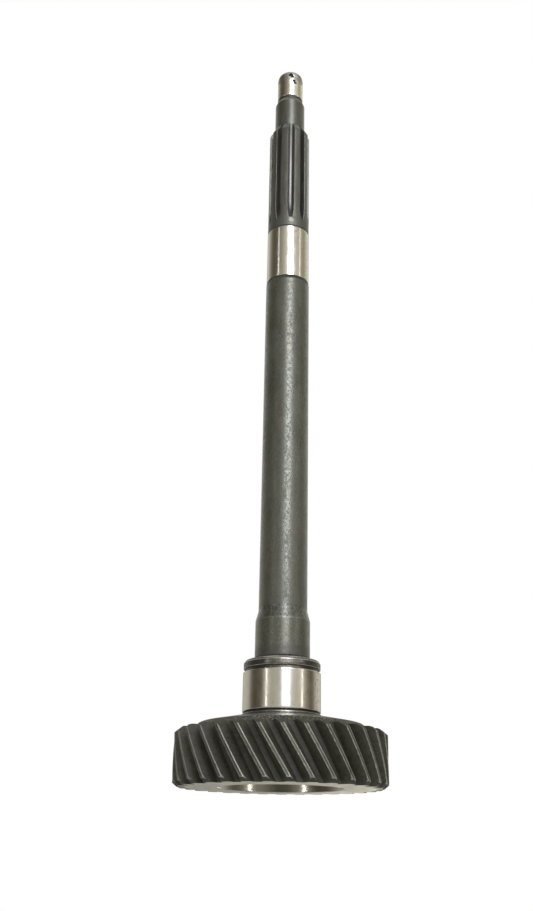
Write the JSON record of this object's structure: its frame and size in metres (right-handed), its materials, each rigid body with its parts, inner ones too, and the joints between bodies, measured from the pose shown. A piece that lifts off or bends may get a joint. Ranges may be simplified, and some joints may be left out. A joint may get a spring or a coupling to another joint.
{
  "type": "clutch shaft",
  "caption": "One-piece gearbox input shaft with a helical gear, a ground bearing journal, a long stem, clutch splines and a pilot nose.",
  "frame": {"origin": "centre of the gear's flat rear face, on which the shaft stands", "axes": "+Z along the shaft's axis from the gear to the pilot nose; the picture looks along +Y"},
  "size_m": [0.108, 0.108, 0.4536],
  "materials": {
    "steel": "dark heat-treated steel with ground bright journals"
  },
  "bodies": {
    "root": {"clutch_shaft": "steel"}
  },
  "joints": []
}
